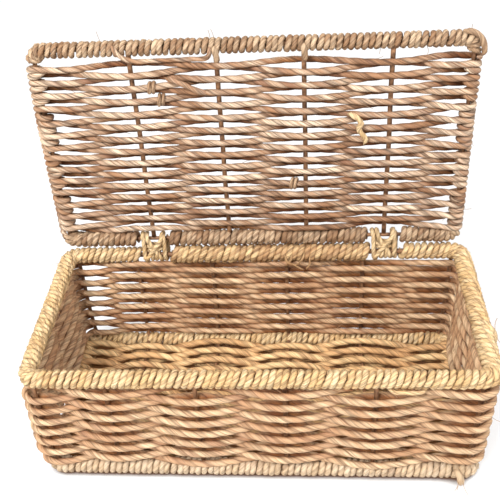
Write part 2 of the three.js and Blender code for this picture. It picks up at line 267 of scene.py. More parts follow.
def settleRope(rope, lengths, radius):
    name = rope.name
    rope.name = name + "Curve"
    shape = rope.evaluated_get(bpy.context.evaluated_depsgraph_get())
    mesh = bpy.data.meshes.new_from_object(shape)
    mesh.name = name
    work = bmesh.new()
    work.from_mesh(mesh)
    bmesh.ops.remove_doubles(work, verts=work.verts, dist=0.002 * mm)
    bmesh.ops.recalc_face_normals(work, faces=work.faces)
    uv = work.loops.layers.uv.active
    girth = 2 * math.pi * radius
    starts = [picks.uniform(0, 900) for length in lengths]  # one draw a line; the piece takes the first
    longest = max(lengths)
    for face in work.faces:
        face.smooth = len(face.verts) == 4
        for corner in face.loops:
            corner[uv].uv.x = corner[uv].uv.x * longest / girth + starts[0]
    work.to_mesh(mesh)
    work.free()
    piece = bpy.data.objects.new(name, mesh)
    sceneObjects.link(piece)
    curve = rope.data
    bpy.data.objects.remove(rope)
    bpy.data.curves.remove(curve)
    return piece


def roundWire(name, lines, radius, closed=False, roundness=3):
    curve = bpy.data.curves.new(name, "CURVE")
    curve.dimensions = "3D"
    curve.bevel_depth = radius
    curve.bevel_resolution = roundness
    curve.use_fill_caps = not closed
    for line in lines:
        spline = curve.splines.new("POLY")
        spline.points.add(len(line) - 1)
        spline.use_cyclic_u = closed
        for point, place in zip(spline.points, line):
            point.co = (*place, 1)
    wire = bpy.data.objects.new(name, curve)
    sceneObjects.link(wire)
    return settleRope(wire, [1.0], radius)


askew = {  # how far the real box is out of true at its corners
    "lidLeft": -1.6 * mm,
    "lidRight": -0.8 * mm,
    "rimLeft": 0.8 * mm,
    "rimRight": 1.2 * mm,
    "front": -2.0 * mm,  # of the right end
    "floor": 2.0 * mm,  # of the left end
    "onset": 9,  # a power: the lashings stay in place
    "fade": 8,  # a power: the lid's front edge stays true
}


def outOfTrue(spot, body):
    if body == "lid":
        end = abs(spot.x / lidLoop["halfX"]) ** askew["onset"]
        front = clamp((spot.z - hinge.z) / (2 * lidLoop["halfY"])) ** askew["fade"]
        return spot + Vector((end * (1 - front) * askew["lidLeft" if spot.x < 0 else "lidRight"], 0, 0))
    end = abs(spot.x / rimLoop["halfX"]) ** askew["onset"]
    right = (1 + spot.x / rimLoop["halfX"]) / 2
    high = clamp(heightShare(spot.z))
    toFront = frontShare(spot.y)
    aside = askew["rimLeft"] * toFront if spot.x < 0 else askew["rimRight"]
    forward = askew["front"] * toFront * right + askew["floor"] * (1 - high) * (1 - right)
    return spot + Vector((high * end * aside, forward, 0))


def finishPiece(piece, body, slot, material, *nodes):
    for vertex in piece.data.vertices:
        vertex.co = outOfTrue(vertex.co, body)
    piece.data.materials.clear()
    piece.data.materials.append(material)
    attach(piece, body)
    if nodes:
        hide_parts(*nodes)


# painted shade: how dark each panel's ropes grow where they face into the weave, less on the end walls
recessShade = {
    "wall": 1.0,
    "lid": 1.0,
    "floor": 0.6,
    "ends": 0.85,  # how much less the end walls darken
    "proud": 0.35,
    "sunk": -0.75,
}


def paintRecessShade(piece, panel, depth):
    # painted shade: a rope is darkened where it faces into the weave, where shade falls; depth gives how far
    # out a place is, and which way is out
    shades = []
    for vertex in piece.data.vertices:
        away, outward = depth(vertex.co)
        facing = vertex.normal.dot(outward)
        stand = (away - ropes[panel] * facing) / weave["reach"] * facing
        share = clamp((recessShade["proud"] - stand) / (recessShade["proud"] - recessShade["sunk"]))
        dark = recessShade[panel] * (1 - recessShade["ends"] * abs(outward.x))
        shades.append(dark * smooth(share))
    layer = piece.data.attributes.new("buried", "FLOAT", "POINT")
    layer.data.foreach_set("value", shades)


def drift(x, y, seed, run, size):
    # a slow wander that neighbouring ropes share
    return size * noise.noise(Vector((x / run, y / run, seed)))


# materials

def paint(red, green, blue):
    def straight(value):
        share = value / 255
        return share / 12.92 if share <= 0.04045 else ((share + 0.055) / 1.055) ** 2.4
    return (straight(red), straight(green), straight(blue), 1)


def addNode(tree, kind, inputs, **settings):
    # a shader node with its settings, its inputs set to constants or joined to other nodes
    node = tree.nodes.new("ShaderNode" + kind)
    for name, value in settings.items():
        setattr(node, name, value)
    setInputs(tree, node, inputs)
    return node


def setInputs(tree, node, inputs):
    for key, value in inputs.items():
        if isinstance(value, bpy.types.NodeSocket):
            tree.links.new(value, node.inputs[key])
        else:
            node.inputs[key].default_value = value


def newMaterial(name):
    material = bpy.data.materials.new(name)
    material.use_nodes = True
    return material, material.node_tree, material.node_tree.nodes["Principled BSDF"]


grassLook = {
    "Light Stalk": paint(232, 198, 140),
    "Tan Stalk": paint(200, 152, 98),
    "Odd Stalk": paint(150, 100, 78),
    "Dark Fibre": paint(78, 42, 18),
    "Odd Share": 0.35,
    "Groove Depth": 0.4,
    "Line Depth": 0.6,
}


def makeGrassGroup():
    # colour and relief of twisted grass, from a rope's own UV: u along it in girths, v round it; the grooves
    # between the plies and the crease lines get painted shade
    group = bpy.data.node_groups.new("twistedGrass", "ShaderNodeTree")
    for name, value in grassLook.items():
        kind = "NodeSocketColor" if isinstance(value, tuple) else "NodeSocketFloat"
        group.interface.new_socket(name, in_out="INPUT", socket_type=kind).default_value = value
    for name, kind in (("Color", "Color"), ("Height", "Float"), ("Roughness", "Float")):
        group.interface.new_socket(name, in_out="OUTPUT", socket_type="NodeSocket" + kind)
    look = group.nodes.new("NodeGroupInput").outputs
    leave = group.nodes.new("NodeGroupOutput")

    def reckon(kind, *values):
        return addNode(group, "Math", dict(enumerate(values)), operation=kind).outputs[0]

    def times(first, second):
        return reckon("MULTIPLY", first, second)

    def plus(first, second):
        return reckon("ADD", first, second)

    def minus(first, second):
        return reckon("SUBTRACT", first, second)

    def blend(share, first, second):
        return addNode(group, "Mix", {0: share, 6: first, 7: second}, data_type="RGBA").outputs[2]

    def grain(along, about, shift, detail, roughness):
        joined = addNode(group, "CombineXYZ", {0: times(u, along), 1: about, 2: shift})
        inputs = {"Vector": joined.outputs[0], "Scale": 1, "Detail": detail, "Roughness": roughness}
        return addNode(group, "TexNoise", inputs).outputs[0]

    def spread(value, low, high):
        inputs = {"Value": value, "From Min": low, "From Max": high}
        return addNode(group, "MapRange", inputs, interpolation_type="SMOOTHSTEP").outputs[0]

    coordinates = addNode(group, "UVMap", {}, uv_map="UVMap")
    u, v, unused = addNode(group, "SeparateXYZ", {0: coordinates.outputs[0]}).outputs
    doubled = times(v, 2)
    ply = reckon("FLOOR", doubled)
    plyShift = times(ply, 17.3)
    crown = minus(1, reckon("ABSOLUTE", minus(times(reckon("FRACT", doubled), 2), 1)))

    stalks = grain(0.22, times(v, 9), plyShift, 3, 0.6)
    fibres = grain(0.7, times(v, 34), plyShift, 2, 0.55)
    patches = grain(0.22, times(v, 0.4), times(ply, 0.35), 2, 0.5)
    odd = grain(0.12, plus(times(v, 1.4), 40), plyShift, 3, 0.6)
    flecks = grain(1.3, times(v, 12), plus(plyShift, 9), 2, 0.5)
    creases = grain(0.2, times(v, 8), plus(plyShift, 5), 1, 0.5)
    line = minus(1, spread(reckon("ABSOLUTE", minus(creases, 0.5)), 0.0, 0.05))

    colour = blend(spread(patches, 0.36, 0.66), look["Light Stalk"], look["Tan Stalk"])
    colour = blend(spread(stalks, 0.42, 0.72), colour, look["Tan Stalk"])
    colour = blend(times(spread(odd, 0.52, 0.7), look["Odd Share"]), colour, look["Odd Stalk"])
    # dark fibres and flecks are the grass's own colour; the crease lines and the grooves between the plies
    # are painted shade
    darkFibreAndShadeShares = (
        times(spread(fibres, 0.56, 0.8), 0.5),
        times(line, look["Line Depth"]),
        times(spread(flecks, 0.66, 0.78), 0.55),
        times(minus(1, spread(crown, 0.02, 0.5)), look["Groove Depth"]),
    )
    for share in darkFibreAndShadeShares:
        colour = blend(share, colour, look["Dark Fibre"])
    relief = minus(plus(times(fibres, 0.6), times(stalks, 0.8)), times(line, 0.7))
    roughness = plus(times(stalks, 0.3), 0.5)
    setInputs(group, leave, {"Color": colour, "Height": relief, "Roughness": roughness})
    return group


grassGroup = makeGrassGroup()
grassRelief = {"Strength": 0.55, "Distance": 0.5 * mm}
# brown tint that the painted recess shade multiplies the grass colour by
recessShadeTint = paint(180, 140, 100)


def grassMaterial(name, light, tan, odd, oddShare, **others):
    material, tree, shader = newMaterial(name)
    look = {"Light Stalk": paint(*light), "Tan Stalk": paint(*tan), "Odd Stalk": paint(*odd)}
    look["Odd Share"] = oddShare
    if "dark" in others:
        look["Dark Fibre"] = paint(*others["dark"])
    # the groove and line settings set how deep the painted shade is in the ply grooves and crease lines
    for key, socket in (("groove", "Groove Depth"), ("line", "Line Depth")):
        if key in others:
            look[socket] = others[key]
    grass = addNode(tree, "Group", {}, node_tree=grassGroup)
    setInputs(tree, grass, look)
    bump = addNode(tree, "Bump", {"Height": grass.outputs["Height"], **grassRelief})
    # painted shade in the weave's recesses, read from each rope's shade attribute
    buried = addNode(tree, "Attribute", {}, attribute_name="buried")
    mixed = {0: buried.outputs["Fac"], 6: grass.outputs["Color"], 7: recessShadeTint}
    shade = addNode(tree, "Mix", mixed, data_type="RGBA", blend_type="MULTIPLY")
    setInputs(tree, shader, {
        "Specular IOR Level": 0.35,
        "Base Color": shade.outputs[2],
        "Roughness": grass.outputs["Roughness"],
        "Normal": bump.outputs["Normal"],
    })
    return material


# colours of the light, tan and odd stalks, and the share of odd ones; groove and line set the painted shade
# in the ply grooves and crease lines
wallGrass = grassMaterial("wallGrass", (224, 194, 156), (190, 147, 109), (150, 103, 82), 0.4)
floorGrass = grassMaterial("floorGrass", (242, 208, 154), (214, 168, 116), (172, 122, 90), 0.35)
lidGrass = grassMaterial(
    "lidGrass", (228, 203, 175), (160, 118, 85), (112, 72, 56), 0.5, dark=(52, 28, 14), line=0.75
)
lidEdgeGrass = grassMaterial(
    "lidEdgeGrass", (210, 182, 149), (152, 115, 83), (122, 84, 60), 0.35, dark=(66, 38, 20)
)
paleGrass = grassMaterial(
    "paleGrass", (221, 199, 170), (202, 174, 140), (177, 142, 115), 0.4, groove=0.2, line=0.4
)
# the rear rim's grass is darker than the front's partly by its own browner tone, partly as painted shade of
# the box's rear
rearGrass = grassMaterial("rearGrass", (226, 194, 145), (174, 131, 90), (150, 104, 80), 0.5)
strawGrass = grassMaterial("strawGrass", (234, 207, 163), (216, 179, 127), (186, 136, 96), 0.35)

rust = {"Scale": 240, "Detail": 4}
rustTints = ((0.35, paint(84, 56, 38)), (0.7, paint(164, 120, 84)))


def wireMaterial():
    material, tree, shader = newMaterial("darkWire")
    place = addNode(tree, "TexCoord", {})
    stains = addNode(tree, "TexNoise", {"Vector": place.outputs["Object"], **rust}).outputs[0]
    tint = addNode(tree, "ValToRGB", {0: stains})
    for stop, (position, colour) in zip(tint.color_ramp.elements, rustTints):
        stop.position = position
        stop.color = colour
    rough = addNode(tree, "MapRange", {"Value": stains, "To Min": 0.4, "To Max": 0.75})
    setInputs(tree, shader, {
        "Metallic": 0.2,
        "Base Color": tint.outputs[0],
        "Roughness": rough.outputs[0],
    })
    return material


darkWire = wireMaterial()
print("materials ready")


# windings of rope round a wire

winding = {
    "steps": 16,
    "pieces": 800,  # stretches in which the closeness of the turns is summed
    "wobble": 0.3,
    "wobbleRate": 0.6,
    "rough": 0.1,
    "roughRate": 0.9,
    "leanRate": 0.13,
    "taper": 4 * mm,
}


def windRound(track, length, wireRadius, ropeRadius, pitch, lean=0.0):
    # track gives place, outward, up and how close the turns lie at a distance along the wire
    reach = wireRadius + ropeRadius
    steps = winding["steps"]
    pieces = winding["pieces"]
    turnAt = [0.0]
    for i in range(pieces):
        closeness = track(length * (i + 0.5) / pieces)[3]
        turnAt.append(turnAt[-1] + closeness * length / pieces / pitch)
    turns = max(1, round(turnAt[-1]))
    seed = picks.uniform(0, 500)
    line = []
    piece = 0
    for i in range(turns * steps + 1):
        turn = i / steps
        wobble = winding["wobble"] * noise.noise(Vector((seed, turn * winding["wobbleRate"], 0)))
        wobble *= min(1, turn, turns - turn)
        target = turnAt[-1] * (turn + wobble) / turns
        while piece < pieces - 1 and turnAt[piece + 1] < target:
            piece += 1
        while piece > 0 and turnAt[piece] > target:
            piece -= 1
        share = (target - turnAt[piece]) / (turnAt[piece + 1] - turnAt[piece])
        s = length * (piece + share) / pieces
        angle = -2 * math.pi * turn
        tilt = lean * (1 + noise.noise(Vector((seed + 5, turn * winding["leanRate"], 0))))
        s += tilt * reach * math.sin(angle) * track(s)[1].y
        place, outward, up, closeness = track(min(length, max(0, s)))
        rough = winding["rough"] * noise.noise(Vector((seed + 9, turn * winding["roughRate"], 0)))
        away = reach * (1 + rough)
        line.append(place + (outward * math.cos(angle) + up * math.sin(angle)) * away)
    return line


def woundRope(name, line, radius):
    return twistRope(name, [line], radius, taper=winding["taper"], lay=ropeMake["woundLay"])


cornerCrowd = 1.45  # how much closer the turns lie in a bend
straightOut = 0.999  # part of an outward direction along x or y, beyond which the wire is straight


def loopTrack(loop, start, place, up, centre):
    origin = place(0, 0, 0)

    def track(s):
        flat, outward = loopPoint(start + s, loop)
        closeness = 1 if max(abs(outward.x), abs(outward.y)) > straightOut else cornerCrowd
        return place(*(flat + centre)), place(*outward) - origin, up, closeness
    return track


baseUp = Vector((0, 0, 1))
tieLeftLow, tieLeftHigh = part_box("hinge_tie_left")
tieRightLow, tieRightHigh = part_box("hinge_tie_right")

rimWinding = {"pitch": 4.5 * mm, "gap": 1.8 * mm, "lean": 0.22}  # the gap is to a lashing


def makeRim():
    reach = rimLoop["halfX"] - rimLoop["corner"]
    centre = Vector((0, 0, rimZ))
    spans = {
        "rimWinding": (tieRightHigh.x, tieLeftLow.x, ropes["rim"], strawGrass, "base_rim_wrap"),
        "rimWindingRear": (tieLeftHigh.x, tieRightLow.x, ropes["rearRim"], rearGrass, "base_rim_wrap_rear"),
    }
    for name, (startX, endX, radius, look, node) in spans.items():
        start = startX + rimWinding["gap"] + reach
        length = endX - startX - 2 * rimWinding["gap"]
        if length < 0:
            length += loopLength(rimLoop)
        track = loopTrack(rimLoop, start, onBase, baseUp, centre)
        line = windRound(track, length, wires["rim"], radius, rimWinding["pitch"], rimWinding["lean"])
        piece = woundRope(name, line, radius)
        finishPiece(piece, "base", "wrapped_rope", look, node)


floorWinding = {
    "pitch": 4.3 * mm,
    "round": 1.2,  # how far it goes on round a corner
    "rest": 2.7 * mm,  # rope's middle where the box stands on it
}


def makeFloorEdges():
    bend = floorLoop["corner"] * math.pi / 2
    extra = floorWinding["round"] * bend
    length = 2 * (floorLoop["halfX"] - floorLoop["corner"] + extra)
    centre = Vector((0, 0, floorZ))
    for side, look in (("Front", paleGrass), ("Rear", strawGrass)):
        start = loopLength(floorLoop) / 2 - extra if side == "Front" else -extra
        track = loopTrack(floorLoop, start, onBase, baseUp, centre)
        line = windRound(track, length, wires["stake"], ropes["floorEdge"], floorWinding["pitch"])
        for spot in line:
            spot.z = max(spot.z, floorWinding["rest"])
        piece = woundRope("floorWinding" + side, line, ropes["floorEdge"])
        finishPiece(piece, "base", "wrapped_rope", look, "floor_wrap_" + side.lower())


makeRim()
makeFloorEdges()
print("rim and floor edges wound")


# the walls: rings of rope, outside one stake and inside the next

weave = {
    "reach": 4.0 * mm,  # stake's middle to the rope's
    "half": 6.2 * mm,  # half the thickness of a woven wall of the frame
    "dipFront": 1.6 * mm,  # how far a wall row hangs lower outside a stake
    "dipRear": 2.9 * mm,
    "fromCorner": (5, 13),  # stretches between a corner and an end stake, where a row changes sides early
    "toCorner": (7, 15),
    "openAt": -126 * mm,  # where the rear wall's rows lie level and let the light through
    "openRun": 17 * mm,
    "bulge": 4.4 * mm,  # of the ends, most near the floor
    "bulgeCorner": 5.0 * mm,  # what the front left corner adds
    "bulgeFrom": 0.15,
    "bulgeTop": 0.4,  # share of it that is left at the rim
    "bulgeOnset": 5,  # powers: how late these set in
    "cornerOnset": 3,
    "tuckOnset": 8,
    "pressOnset": 6,
    "tuck": 2.6 * mm,  # how far the top rows are pushed up under the rim
    "press": 0.8 * mm,  # how far the lowest rows are pushed down on the floor's edge
    "pressEnds": 3.0 * mm,
    "lean": 1.2 * mm,  # rise of the rear wall's rows to the left
    "wander": 1.5 * mm,
    "wanderRun": 90 * mm,
    "own": 0.35 * mm,  # wander of one rope by itself
    "ownRun": 35 * mm,
    "rowsAlike": 0.6,  # how fast the wander changes from row to row, shared and own
    "rowsApart": 40,
    "seed": 3,
    "ownSeed": 8,
}
wallCorner = 7 * mm


def wallHalf(z):
    share = heightShare(z)
    return tuple(floorLoop[key] + (rimLoop[key] - floorLoop[key]) * share for key in ("halfX", "halfY"))


def endSwell(spot):
    share = heightShare(spot.z)
    corner = frontShare(spot.y) ** weave["cornerOnset"] if spot.x < 0 else 0
    most = weave["bulge"] + weave["bulgeCorner"] * corner
    return most * clamp(share / weave["bulgeFrom"]) * (1 - (1 - weave["bulgeTop"]) * share)


def swellOut(spot):
    # the end walls belly out
    toEnd = (spot.x / wallHalf(spot.z)[0]) ** weave["bulgeOnset"]
    return Vector((spot.x + endSwell(spot) * toEnd, spot.y, spot.z))


def wallDepth(spot):
    halfX, halfY = wallHalf(spot.z)
    sideX = 1 if spot.x > 0 else -1
    sideY = 1 if spot.y > baseY else -1
    overX = abs(spot.x) - halfX - endSwell(spot) + wallCorner
    overY = abs(spot.y - baseY) - halfY + wallCorner
    if min(overX, overY) > 0:
        outward = Vector((sideX * overX, sideY * overY, 0))
        return outward.length - wallCorner, outward.normalized()
    if overX > overY:
        return overX - wallCorner, Vector((sideX, 0, 0))
    return overY - wallCorner, Vector((0, sideY, 0))


def wallMarks(loop):
    # distances round the wall at which a row meets a stake
    bend = loop["corner"] * math.pi / 2
    reachX = loop["halfX"] - loop["corner"]
    reachY = loop["halfY"] - loop["corner"]
    marks = []
    start = 0
    for side in range(4):
        heading = 1 if side < 2 else -1
        reach = reachX if side % 2 == 0 else reachY
        places = [-reachX, *wallStakes, reachX] if side % 2 == 0 else endStakes
        marks += sorted(start + reach + heading * place for place in places)
        start += 2 * reach + bend
    return marks


def weaveOffset(s, marks, length, firstOut):
    count = len(marks)
    for i in range(count):
        here = marks[i]
        there = marks[i + 1] if i + 1 < count else marks[0] + length
        if here <= s < there:
            break
    share = (s - here) / (there - here)
    if i in weave["fromCorner"]:
        share = math.sqrt(share)
    elif i in weave["toCorner"]:
        share = 1 - math.sqrt(1 - share)
    sign = 1 if (i + firstOut) % 2 == 1 else -1
    return sign * weave["reach"] * math.cos(math.pi * share)


def makeWallRow(node, index):
    low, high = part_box(node)
    loop = {
        "halfX": (high.x - low.x) / 2 - weave["half"],
        "halfY": (high.y - low.y) / 2 - weave["half"],
        "corner": wallCorner,
    }
    height = (low.z + high.z) / 2
    share = heightShare(height)
    length = loopLength(loop)
    marks = wallMarks(loop)
    count = round(length / ropeMake["step"])
    line = []
    for i in range(count):
        s = length * i / count
        flat, outward = loopPoint(s, loop)
        offset = weaveOffset(s, marks, length, index)
        flat = flat + outward * offset
        opened = math.exp(-((flat.x - weave["openAt"]) / weave["openRun"]) ** 2) if outward.y > 0.99 else 0
        toRear = (flat.y / loop["halfY"] + 1) / 2
        dip = weave["dipFront"] + (weave["dipRear"] - weave["dipFront"]) * toRear
        lift = -dip * (1 - opened) * offset / weave["reach"] + weave["tuck"] * share ** weave["tuckOnset"]
        lift -= weave["lean"] * flat.x / loop["halfX"] * max(0, flat.y / loop["halfY"])
        press = weave["press"] + weave["pressEnds"] * abs(outward.x)
        lift -= press * (1 - share) ** weave["pressOnset"]
        flat.x = swellOut(onBase(flat.x, flat.y, height)).x
        alike = height * weave["rowsAlike"]
        apart = height * weave["rowsApart"]
        lift += drift(flat.x + flat.y * 1.7, alike, weave["seed"], weave["wanderRun"], weave["wander"])
        lift += drift(flat.x + flat.y * 2.3, apart, weave["ownSeed"], weave["ownRun"], weave["own"])
        line.append(onBase(flat.x, flat.y, height + lift))
    piece = twistRope("wallRope" + node[-2:], [line], ropes["wall"], closed=True)
    paintRecessShade(piece, "wall", wallDepth)
    finishPiece(piece, "base", "woven_rope", wallGrass, node)


for index, node in enumerate(nodesNamed("wall_row_")):
    makeWallRow(node, index)
print("walls woven")


# flat panels: a rope goes to and fro, and one and a half times round each end wire

panelTurns = {"shift": 0.25, "ramp": 26 * mm, "turnSteps": 14, "taper": 5 * mm}


def panelRope(rows, firstRow, stakes, half, place, pitch, seed, hang):
    stations = [-half, *stakes, half]
    line = []
    shift = panelTurns["shift"] * pitch
    for i, distance in enumerate(rows):
        heading = 1 if i % 2 == 0 else -1
        steps = round(2 * half / ropeMake["step"])
        for k in range(steps + 1):
            along = 2 * half * k / steps
            x = heading * (along - half)
            fromStart = max(0, 1 - along / panelTurns["ramp"])
            fromEnd = max(0, 1 - (2 * half - along) / panelTurns["ramp"])
            bend = shift * (smooth(fromStart) - smooth(fromEnd))
            j = max(index for index in range(len(stations) - 1) if stations[index] <= x + 1e-9)
            share = (x - stations[j]) / (stations[j + 1] - stations[j])
            side = 1 if (firstRow + i + j) % 2 == 0 else -1
            lift = side * weave["reach"] * math.cos(math.pi * share)
            ease = min(1, 2 * min(along, 2 * half - along) / panelTurns["ramp"])
            alike = distance * weave["rowsAlike"]
            apart = distance * weave["rowsApart"]
            y = distance + bend + ease * drift(x, alike, seed, weave["wanderRun"], weave["wander"])
            y += ease * drift(x, apart, seed + 4, weave["ownRun"], weave["own"])
            y += ease * hang(distance) * lift / weave["reach"]
            line.append(place(x, y, lift))
        last = len(stations) - 1 if heading > 0 else 0
        side = 1 if (firstRow + i + last) % 2 == 0 else -1
        halfTurns = 3 if i < len(rows) - 1 else 1
        stepsHere = panelTurns["turnSteps"] * halfTurns
        for k in range(1, stepsHere):
            turned = math.pi * halfTurns * k / stepsHere
            x = heading * (half + weave["reach"] * math.sin(turned))
            y = distance - shift + 0.5 * pitch * halfTurns * k / stepsHere
            line.append(place(x, y, side * weave["reach"] * math.cos(turned)))
    return line


def startTurn(line, rows, firstRow, half, place, pitch):
    # the rope's first end comes half round the wire before its first row
    side = 1 if firstRow % 2 == 0 else -1
    steps = panelTurns["turnSteps"]
    shift = panelTurns["shift"] * pitch
    lead = []
    for k in range(steps):
        turned = math.pi * (1 - k / steps)
        x = -half - weave["reach"] * math.sin(turned)
        y = rows[0] + shift - 0.5 * pitch * (1 - k / steps)
        lead.append(place(x, y, side * weave["reach"] * math.cos(turned)))
    return lead + line


def rowsOf(low, high, pitch):
    count = round((high - low) / pitch)
    return [low + (high - low) * i / count for i in range(count + 1)]


cadRope = 2.2 * mm  # radius of the frame's plain ropes
panelPitch = 4.85 * mm
lidWeave = {
    "settle": 3.2 * mm,
    "settleRun": 12 * mm,
    "clear": 14 * mm,
    "give": 1.8 * mm,
    "hangLow": -1.6 * mm,  # how far a row rises where it passes outside, by the hinge and at the front
    "hangHigh": 0.8 * mm,
}


def lidDepth(spot):
    return spot.y - hinge.y, Vector((0, 1, 0))


def lidHang(row):
    return lidWeave["hangLow"] + (lidWeave["hangHigh"] - lidWeave["hangLow"]) * row / (2 * lidLoop["halfY"])


def settleRows(line):
    # the rows by the hinge lie close to its winding, but keep clear of the lashings
    for spot in line:
        away = min(abs(spot.x - place) for place in (lidStakes[0], lidStakes[-1]))
        share = clamp(away / lidWeave["clear"] - 1)
        near = math.exp(-(spot.z - hinge.z) / lidWeave["settleRun"])
        spot.z -= near * (lidWeave["settle"] * share - lidWeave["give"] * (1 - share))


def makeLidRopes():
    firstRow = 0
    for node in nodesNamed("lid_rope_"):
        low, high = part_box(node)
        rows = rowsOf(low.z + cadRope - hinge.z, high.z - cadRope - hinge.z, panelPitch)
        pitch = rows[1] - rows[0]
        line = panelRope(rows, firstRow, lidStakes, lidLoop["halfX"], onLid, pitch, 21, lidHang)
        line = startTurn(line, rows, firstRow, lidLoop["halfX"], onLid, pitch)
        settleRows(line)
        piece = twistRope("lidRope" + node[-1], [line], ropes["lid"], taper=panelTurns["taper"])
        paintRecessShade(piece, "lid", lidDepth)
        finishPiece(piece, "lid", "woven_rope", lidGrass, node)
        firstRow += len(rows)


def onFloor(x, y, z):
    return onBase(x, floorLoop["halfY"] - y, floorZ + z)


floorWeave = {"hang": -1.45 * mm, "rest": 3.15 * mm}


def floorHang(row):
    return floorWeave["hang"]


def floorDepth(spot):
    return spot.z - floorZ, baseUp


def makeFloorRopes():
    rearY = baseY + floorLoop["halfY"]
    zones = {}
    for node in ("floor_rope_rear", "floor_rope_middle", "floor_rope_front"):
        low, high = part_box(node)
        zones[node] = rowsOf(rearY - high.y + cadRope, rearY - low.y - cadRope, panelPitch)
    everyRow = sum(zones.values(), [])
    pitch = (everyRow[-1] - everyRow[0]) / (len(everyRow) - 1)
    done = 0
    for node, places in zones.items():
        # spread so that the rows close over the long stakes
        rows = [everyRow[0] + pitch * (done + i) for i in range(len(places))]
        done += len(places)
        line = panelRope(rows, 0, wallStakes, floorLoop["halfX"], onFloor, pitch, 33, floorHang)
        line = startTurn(line, rows, 0, floorLoop["halfX"], onFloor, pitch)
        for spot in line:
            spot.z = max(spot.z, floorWeave["rest"])
        piece = twistRope("floorRope" + ending(node), [line], ropes["floor"], taper=panelTurns["taper"])
        paintRecessShade(piece, "floor", floorDepth)
        finishPiece(piece, "base", "woven_rope", floorGrass, node)


makeLidRopes()
makeFloorRopes()
print("lid and floor woven")


# the lid's wound edges

lidWinding = {"pitch": 4.25 * mm, "fromRow": 0.9, "gap": 2.2 * mm}


def makeLidEdges():
    lidUp = Vector((0, 1, 0))
    firstLow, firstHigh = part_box("lid_rope_1")
    lastLow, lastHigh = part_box("lid_rope_4")
    firstRow = firstLow.z + cadRope - hinge.z
    lastRow = lastHigh.z - cadRope - hinge.z
    reachX = lidLoop["halfX"] - lidLoop["corner"]
    reachY = lidLoop["halfY"] - lidLoop["corner"]
    bend = lidLoop["corner"] * math.pi / 2

    # distances round the loop from the left end of the hinge wire
    sideRun = 2 * reachX + bend
    frontRun = sideRun + 2 * reachY + bend
    leftRun = frontRun + 2 * reachX + bend
    hingeRun = leftRun + 2 * reachY + bend + reachX
    gap = lidWinding["gap"]
    down = firstRow - lidWinding["fromRow"] * panelPitch - lidLoop["corner"]
    up = lastRow + lidWinding["fromRow"] * panelPitch - lidLoop["corner"]
    spans = {
        "lidWindingFront": (sideRun + up, leftRun + 2 * reachY - up, "lid_wrap_front"),
        "lidWindingHingeLeft": (
            leftRun + 2 * reachY - down, hingeRun + tieLeftLow.x - gap, "lid_wrap_hinge_left",
        ),
        "lidWindingHingeMiddle": (
            reachX + tieLeftHigh.x + gap, reachX + tieRightLow.x - gap, "lid_wrap_hinge_middle",
        ),
        "lidWindingHingeRight": (
            reachX + tieRightHigh.x + gap, sideRun + down, "lid_wrap_hinge_right",
        ),
    }
    for name, (start, end, node) in spans.items():
        track = loopTrack(lidLoop, start, onLidLoop, lidUp, Vector((0, 0, 0)))
        radius = ropes["lidEdge" if name == "lidWindingFront" else "hingeEdge"]
        line = windRound(track, end - start, wires["stake"], radius, lidWinding["pitch"])
        piece = woundRope(name, line, radius)
        finishPiece(piece, "lid", "wrapped_rope", lidEdgeGrass, node)


makeLidEdges()
print("lid edges wound")


# the two lashings that hold the lid's wire to the rim

lashing = {
    "turns": 3,
    "steps": 12,  # of half a turn
    "pitch": 3.3 * mm,
    "beside": 4.65 * mm,  # stake's middle to the nearest turn
    "play": 0.6 * mm,
    "strapLift": 1.2 * mm,  # the strap that crosses back lies on the turns
    "strapBeside": 6.0 * mm,
    "fill": {"half": 3.2 * mm, "rope": 1.6 * mm, "pitch": 3.3 * mm},  # turns round the rim between the legs
    "waist": {  # turns round the legs
        "turns": 2,
        "steps": 16,
        "halfX": 6.2 * mm,
        "halfY": 3.0 * mm,
        "pitch": 3.2 * mm,
        "drop": 0.8 * mm,
    },
    "rough": 0.45 * mm,
    "roughRun": 5 * mm,
}


def roughen(line, seed):
    # a hand-tied line, never quite even
    run = lashing["roughRun"]
    size = lashing["rough"]
    return [spot + size * noise.noise_vector(spot / run + Vector((seed, 0, 0))) for spot in line]


def lashingLine(stakeX, turns, beside, lift, mirror):
    # turns round both wires, on both sides of a stake, crossing over between the wires on the front
    radius = ropes["tie"] + lift
    rimRear = baseY + rimLoop["halfY"]
    steps = lashing["steps"]
    crossAt = (2 * (turns // 2) + 1) * steps
    advance = lashing["pitch"] / (2 * steps)
    line = []
    start, end = (0, turns * 2 * steps) if turns > 1 else (steps // 3, 2 * steps - steps // 3)
    for i in range(start, end + 1):
        angle = math.pi * (i + 0.5) / steps
        overHinge = math.sin(angle) > 0
        reach = wires["stake"] + lashing["play"] + radius if overHinge else wires["rim"] + radius
        before = i < crossAt
        offset = beside + advance * (crossAt - 1 - i if before else i - crossAt)
        line.append(Vector((
            stakeX + mirror * (-offset if before else offset),
            (hinge.y if overHinge else rimRear) + reach * math.cos(angle),
            (hinge.z if overHinge else rimZ) + reach * math.sin(angle),
        )))
    return line


def waistLine(stakeX):
    waist = lashing["waist"]
    centre = Vector((stakeX, (hinge.y + baseY + rimLoop["halfY"]) / 2, (hinge.z + rimZ) / 2))
    line = []
    for i in range(waist["turns"] * waist["steps"] + 1):
        turn = i / waist["steps"]
        angle = 2 * math.pi * turn
        rise = waist["pitch"] * (turn - waist["turns"] / 2) - waist["drop"]
        ring = Vector((waist["halfX"] * math.cos(angle), waist["halfY"] * math.sin(angle), rise))
        line.append(centre + ring)
    return line


